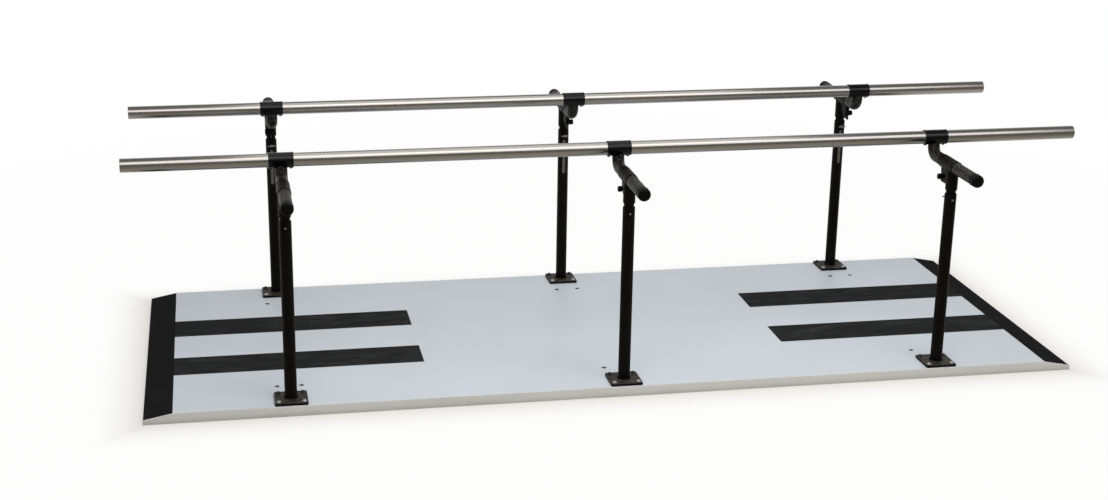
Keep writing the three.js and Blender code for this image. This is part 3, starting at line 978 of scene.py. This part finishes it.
knobs = {"left": width_knob(1), "middle": width_knob(-1), "right": width_knob(-1)}
for side, place, foot, turn in posts():
    node = f"width_knob_{side}_{place}"
    name = f"lobed_knob_{side}_{place}"
    add(name, knobs[place], moulded_plastic, node, foot, turn, [node])


# Arms: steel tube with a hammered dark coat. Its straight end slides through the collar, and the
# other end is bent up and saddled to the handrail's clamp.

ARM_WALL = 0.0025
BEND_RADIUS = 0.030
BEND_STEPS = 20
RAIL_CLEAR = 0.0003
rail_low, rail_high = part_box("rail_near")
clamp_low, clamp_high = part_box("rail_clamp_near_middle")
RAIL_RADIUS = (rail_high.z - rail_low.z) / 2
RAIL_Z = rail_low.z + RAIL_RADIUS
post_low, post_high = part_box("post_near_middle")
POST_Y = (post_low.y + post_high.y) / 2
RAIL_INBOARD = (rail_low.y + rail_high.y) / 2 - POST_Y
CLAMP_RADIUS = (clamp_high.z - clamp_low.z) / 2
CLAMP_LENGTH = clamp_high.x - clamp_low.x
ARM_END = arm_low.y - POST_Y


def arm_line():
    """The tube's middle and how far it has turned upright, from its cut end to the clamp."""
    line = [(ARM_END, ARM_Z, 0.0)]
    for step in range(BEND_STEPS + 1):
        angle = math.pi / 2 * step / BEND_STEPS
        y = RAIL_INBOARD - BEND_RADIUS + BEND_RADIUS * math.sin(angle)
        line.append((y, ARM_Z + BEND_RADIUS * (1 - math.cos(angle)), angle))
    return line + [(RAIL_INBOARD, RAIL_Z, math.pi / 2)]


def arm_ring(radius, y, z, lean):
    """The points round one place of the tube's middle line, which leans up from +Y."""
    ring = []
    for index in range(SIDES):
        turn = 2 * math.pi * index / SIDES
        rise = radius * math.sin(turn)
        ring.append((radius * math.cos(turn), y - rise * math.sin(lean), z + rise * math.cos(lean)))
    return ring


def arm():
    """The bent tube, outside and bore, with its upright end cut to the clamp that sits on it."""
    points, faces = [], []
    line = arm_line()
    for radius in (ARM_RADIUS, ARM_RADIUS - ARM_WALL):
        for y, z, lean in line:
            points += arm_ring(radius, y, z, lean)
    inside = len(line) * SIDES
    for index in range(SIDES):
        beside = (index + 1) % SIDES
        for row in range(0, inside - SIDES, SIDES):
            for first in (row, row + inside):
                near, far = first + index, first + beside
                faces.append([near, far, far + SIDES, near + SIDES])
        for row in (0, inside - SIDES):
            near, far = row + index, row + beside
            faces.append([near, far, far + inside, near + inside])
    mesh = bpy.data.meshes.new("arm")
    mesh.from_pydata(points, [], faces)
    seat = along_x(rod(CLAMP_RADIUS + RAIL_CLEAR, -CLAMP_LENGTH, CLAMP_LENGTH))
    return finished(cut(mesh, shifted(seat, y=RAIL_INBOARD, z=RAIL_Z)))


HAMMER_DARK = paint(3, 3, 3)
HAMMER_LIGHT = paint(60, 58, 54)
DIMPLE = 0.006
DIMPLE_RISE = 0.0005
FLECK = 0.0015

hammered_coat = Finish("hammered_coat", roughness=0.42, specular=0.1)
dimples = hammered_coat.cloud(DIMPLE, detail=1.0)
flecks = hammered_coat.cloud(FLECK, detail=3.0)
hammer_marks = hammered_coat.between(dimples * 0.7 + flecks * 0.3, 0.46, 0.62)
hammered_coat.wear(
    Base_Color=hammered_coat.mixed(hammer_marks, HAMMER_DARK, HAMMER_LIGHT),
    Roughness=0.36 + flecks * 0.14,
    Normal=hammered_coat.raised(dimples, DIMPLE_RISE),
)
add_at_posts("bent_arm", arm(), hammered_coat, "{side}_rail", "arm")


# Arm caps: black moulded plastic, pushed over the arm's cut end, with a domed end and a bead round
# the open rim.

cap_low, cap_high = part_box("arm_cap_near_middle")
CAP_FIT = 0.0002
CAP_WALL = 0.0012
CAP_RADIUS = ARM_RADIUS + CAP_FIT + CAP_WALL
CAP_BEAD = 0.0005
CAP_BEAD_WIDTH = 0.003
CAP_EDGE = 0.0004
CAP_DOME = 0.009
CAP_STEPS = 10
cap_length = cap_high.y - cap_low.y
cap_floor = cap_length - CAP_DOME
cap_side = CAP_RADIUS - CAP_BEAD
cap_corners = [
    (0, cap_floor, 0),
    (ARM_RADIUS + CAP_FIT, cap_floor, 0),
    (ARM_RADIUS + CAP_FIT, 0, CAP_EDGE),
    (CAP_RADIUS, 0, CAP_EDGE),
    (CAP_RADIUS, CAP_BEAD_WIDTH, CAP_EDGE),
    (cap_side, CAP_BEAD_WIDTH + CAP_BEAD, 0),
]
for step in range(CAP_STEPS):
    angle = math.pi / 2 * step / CAP_STEPS
    inset = CAP_DOME * (1 - math.cos(angle))
    cap_corners.append((cap_side - inset, cap_floor + CAP_DOME * math.sin(angle), 0))
cap_corners += [(cap_side - CAP_DOME, cap_length, 0), (0, cap_length, 0)]
arm_cap = finished(shifted(turned_to(turned(cap_corners), "X"), y=cap_high.y - POST_Y, z=ARM_Z))
add_at_posts("domed_cap", arm_cap, moulded_plastic, "{side}_rail", "arm_cap")


# Handrails: welded stainless tube, ground and polished lengthwise to a satin shine, with a faint
# drawn line here and there. A black plug closes each end.

RAIL_WALL = 0.002
RAIL_EDGE = 0.0006
RAIL_SIDES = 96
PLUG_LENGTH = 0.014
PLUG_FIT = 0.0001
PLUG_SET_BACK = 0.0008
PLUG_EDGE = 0.001

STEEL_LIGHT = [0.315, 0.300, 0.280, 1.0]
STEEL_DARK = [0.292, 0.277, 0.257, 1.0]
FINE_LINE = 0.0013
FINE_LINE_RISE = 0.0000005
DRAWN_LINE = 0.005

brushed_steel = Finish("brushed_stainless", roughness=0.22, metallic=1.0)
fine_lines = brushed_steel.cloud(FINE_LINE, stretch=(400, 1, 1), detail=2.0)
drawn_lines = brushed_steel.cloud(DRAWN_LINE, stretch=(120, 1, 1), detail=4.0)
streaks = brushed_steel.between(fine_lines * 0.3 + drawn_lines * 0.7, 0.3, 0.7)
brushed_steel.wear(
    Base_Color=brushed_steel.mixed(streaks, STEEL_DARK, STEEL_LIGHT),
    Roughness=0.2 + fine_lines * 0.02,
    Normal=brushed_steel.raised(fine_lines, FINE_LINE_RISE),
)

rail_length = rail_high.x - rail_low.x
rail_bore = RAIL_RADIUS - RAIL_WALL
rail_tube = turned([
    (rail_bore, -rail_length / 2, RAIL_EDGE),
    (RAIL_RADIUS, -rail_length / 2, RAIL_EDGE),
    (RAIL_RADIUS, rail_length / 2, RAIL_EDGE),
    (rail_bore, rail_length / 2, RAIL_EDGE),
], RAIL_SIDES)
rail_tube = finished(along_x(rail_tube))
end_plug = rod(rail_bore - PLUG_FIT, -PLUG_LENGTH, -PLUG_SET_BACK, PLUG_EDGE)
end_plug = finished(along_x(end_plug))
for side in ("near", "far"):
    low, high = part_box(f"rail_{side}")
    y = (low.y + high.y) / 2
    body, node = f"{side}_rail", f"rail_{side}"
    add(f"handrail_{side}", rail_tube, brushed_steel, body, (0, y, RAIL_Z), NO_TURN, [node])
    for end, x, turn in (("left", low.x, math.pi), ("right", high.x, NO_TURN)):
        name, node, spot = f"end_plug_{side}_{end}", f"rail_plug_{side}_{end}", (x, y, RAIL_Z)
        add(name, end_plug, moulded_plastic, body, spot, turn, [node])


# Rail clamps: a glossy black moulded sleeve round the handrail over each arm, with a bead at both
# ends and two screws up through its underside into the rail.

CLAMP_EDGE = 0.0012
CLAMP_BEAD = 0.0004
CLAMP_BEAD_WIDTH = 0.006
CLAMP_FIT = 0.0001
CLAMP_SCREW_INSET = 0.008
CLAMP_SCREW_X = CLAMP_LENGTH / 2 - CLAMP_SCREW_INSET
CLAMP_SCREW_HEAD = 0.0046
CLAMP_SCREW_HEIGHT = 0.0024
CLAMP_PAD_RADIUS = 0.0056
CLAMP_PAD_HEIGHT = 0.0005


def rail_clamp():
    """The sleeve, with the two pads on which its screws sit."""
    half = CLAMP_LENGTH / 2
    waist = CLAMP_RADIUS - CLAMP_BEAD
    bead = half - CLAMP_BEAD_WIDTH
    sleeve = turned([
        (RAIL_RADIUS + CLAMP_FIT, -half, 0),
        (CLAMP_RADIUS, -half, CLAMP_EDGE),
        (CLAMP_RADIUS, -bead, CLAMP_BEAD),
        (waist, -bead + CLAMP_BEAD, CLAMP_BEAD),
        (waist, bead - CLAMP_BEAD, CLAMP_BEAD),
        (CLAMP_RADIUS, bead, CLAMP_BEAD),
        (CLAMP_RADIUS, half, CLAMP_EDGE),
        (RAIL_RADIUS + CLAMP_FIT, half, 0),
    ])
    pads = []
    for x in (-CLAMP_SCREW_X, CLAMP_SCREW_X):
        foot = -CLAMP_RADIUS - CLAMP_PAD_HEIGHT
        pads.append(shifted(rod(CLAMP_PAD_RADIUS, foot, -waist + CLAMP_BEAD, CLAMP_BEAD), x=x))
    return finished(shifted(welded(along_x(sleeve), *pads), y=RAIL_INBOARD, z=RAIL_Z))


def clamp_screws():
    """Two screw heads under the sleeve, each on its pad."""
    screws = []
    for x in (-CLAMP_SCREW_X, CLAMP_SCREW_X):
        screw = turned_to(button_screw(CLAMP_SCREW_HEAD, CLAMP_SCREW_HEIGHT, 0.0), "X", 2)
        screws.append(shifted(screw, x=x, y=RAIL_INBOARD, z=RAIL_Z - CLAMP_RADIUS - CLAMP_PAD_HEIGHT))
    return finished(joined(*screws))


GLOSS_BLACK = paint(2, 2, 3)
GLOSS_WORN = paint(6, 7, 10)
FLOW_PATCH = 0.02
FLOW_RISE = 0.00006
FINGERPRINT = 0.006

gloss_plastic = Finish("gloss_black_plastic", roughness=0.15, specular=0.18)
flow = gloss_plastic.cloud(FLOW_PATCH, stretch=(2, 1, 1), detail=3.0)
fingerprints = gloss_plastic.between(gloss_plastic.cloud(FINGERPRINT, detail=5.0), 0.5, 0.75)
gloss_plastic.wear(
    Base_Color=gloss_plastic.mixed(flow, GLOSS_BLACK, GLOSS_WORN),
    Roughness=0.1 + fingerprints * 0.1,
    Normal=gloss_plastic.raised(flow, FLOW_RISE),
)
add_at_posts("clamp_sleeve", rail_clamp(), gloss_plastic, "{side}_rail", "rail_clamp")
add_at_posts("clamp_screws", clamp_screws(), black_oxide, "{side}_rail")


# Studio: a pale floor that runs on past the view, one soft box overhead and one in front, and the
# camera in front of the bars, a little to their left and above them.

FLOOR_REACH = 60.0
FLOOR_COLOUR = (0.54, 0.5, 0.41, 1.0)
WHITE_NEAR = 0.965  # how white the floor is round the bars, before the light on it
FADE_START = 1.6
FADE_END = 4.0
PAINTED_FOOT_SHADE = 0.42  # how much less white it is right at the platform's edge, a painted shadow round the platform
PAINTED_FOOT_SHADE_REACH = 0.17
FLOOR_FRONT = (-1.0, 0.0)  # where the floor turns from the dim front of the studio to the backdrop
SKY_FRONT = (-0.6, 0.0)  # the same for the sky, in how far a view of it points back
SKY_TOP = (0.35, 0.75)  # where the backdrop turns to the ceiling, in how far a view of it points up
WHITE = (1, 1, 1, 1)
AMBIENT = 0.32  # the sky's strength as a light, apart from the backdrop
SOFT_BOXES = (
    ("front_box", (0.5, -2.6, 3.15), (5.2, 2.3), 2.6),
    ("top_box", (0.05, -0.3, 2.6), (2.4, 2.7), 1.35),
)  # name, place, length and width, brightness
CAMERA_PLACE = (-1.2354, -5.4848, 2.0853)
CAMERA_TILT = (71.649, -0.541, -10.166)  # degrees
CAMERA_LENS = 56.356  # mm
CAMERA_SENSOR = 36.0  # mm
CAMERA_SHIFT = (0.0275, 0.0206)  # shares of the picture's width

floor_mesh = bpy.data.meshes.new("floor")
corner_shares = [(-1, -1), (1, -1), (1, 1), (-1, 1)]
floor_corners = [(x * FLOOR_REACH, y * FLOOR_REACH, 0) for x, y in corner_shares]
floor_mesh.from_pydata(floor_corners, [], [(0, 1, 2, 3)])
floor = bpy.data.objects.new("floor", floor_mesh)
bpy.context.scene.collection.objects.link(floor)


def seen(web, backdrop):
    """1 for what the camera sees, through glass too, and for the backdrop that metal mirrors."""
    kinds = ("Camera", "Glossy", "Transmission")
    direct, mirrored, through = [web.node("ShaderNodeLightPath", out=f"Is {kind} Ray") for kind in kinds]
    return web.maths("MAXIMUM", web.maths("MAXIMUM", direct, through), mirrored * backdrop)


floor_paint = Finish("floor_paint", roughness=1.0, specular=0.0)
floor_paint.wear(Base_Color=FLOOR_COLOUR)
spot = floor_paint.node("ShaderNodeTexCoord", out="Object")
away = floor_paint.node("ShaderNodeVectorMath", {"operation": "LENGTH"}, {0: spot}, out="Value")


def beyond(axis, half):
    """How far past the platform's edge a point of the floor lies, along one axis."""
    return floor_paint.maths("ABSOLUTE", floor_paint.place(axis)) - half


past_end = beyond("X", trim_high.x)
past_side = beyond("Y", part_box("edge_trim_far")[1].y)
past_edge = floor_paint.maths("MAXIMUM", past_end, past_side)
# A painted shadow: less of the white glow, so more of the darker lit floor, in a band round the platform's
# edges.
painted_foot_shade = (1 - floor_paint.between(past_edge, 0.0, PAINTED_FOOT_SHADE_REACH)) ** 2 * PAINTED_FOOT_SHADE
whiteness = floor_paint.between(away, FADE_START, FADE_END, WHITE_NEAR, 1.0) - painted_foot_shade
floor_behind = floor_paint.between(floor_paint.place("Y"), *FLOOR_FRONT)
glow = floor_paint.node("ShaderNodeEmission", inputs={"Color": WHITE})
lit = Wire(floor_paint, floor_paint.shader.outputs[0])
shares = {0: whiteness * seen(floor_paint, floor_behind), 1: lit, 2: glow}
blend = floor_paint.node("ShaderNodeMixShader", inputs=shares)
floor_paint.feed(floor_paint.tree.nodes["Material Output"].inputs["Surface"], blend)
floor_mesh.materials.append(floor_paint.material)

world = bpy.data.worlds.new("studio")
world.use_nodes = True
bpy.context.scene.world = world
sky = Web(world.node_tree)
backdrop = sky.tree.nodes["Background"]
way = sky.node("ShaderNodeTexCoord", out="Generated")
back, up = [sky.node("ShaderNodeSeparateXYZ", inputs={0: way}, out=axis) for axis in ("Y", "Z")]
sky_behind = sky.between(back, *SKY_FRONT) * (1 - sky.between(up, *SKY_TOP))
sky.feed(backdrop.inputs["Color"], WHITE)
sky.feed(backdrop.inputs["Strength"], AMBIENT + (1 - AMBIENT) * seen(sky, sky_behind))

for name, place, (length, width), brightness in SOFT_BOXES:
    lamp = bpy.data.lights.new(name, "AREA")
    lamp.shape = "RECTANGLE"
    lamp.size = length
    lamp.size_y = width
    lamp.energy = brightness * math.pi * length * width
    box = bpy.data.objects.new(name, lamp)
    box.location = place
    towards_deck = Vector((0, -place[1], -place[2]))
    box.rotation_euler = towards_deck.to_track_quat("-Z", "Y").to_euler()
    box.visible_camera = False
    bpy.context.scene.collection.objects.link(box)

lens = bpy.data.cameras.new("camera")
lens.sensor_width = CAMERA_SENSOR
lens.lens = CAMERA_LENS
lens.shift_x, lens.shift_y = CAMERA_SHIFT
camera = bpy.data.objects.new("camera", lens)
camera.location = CAMERA_PLACE
camera.rotation_euler = [math.radians(angle) for angle in CAMERA_TILT]
bpy.context.scene.collection.objects.link(camera)
bpy.context.scene.camera = camera
bpy.context.scene.view_settings.view_transform = "Standard"
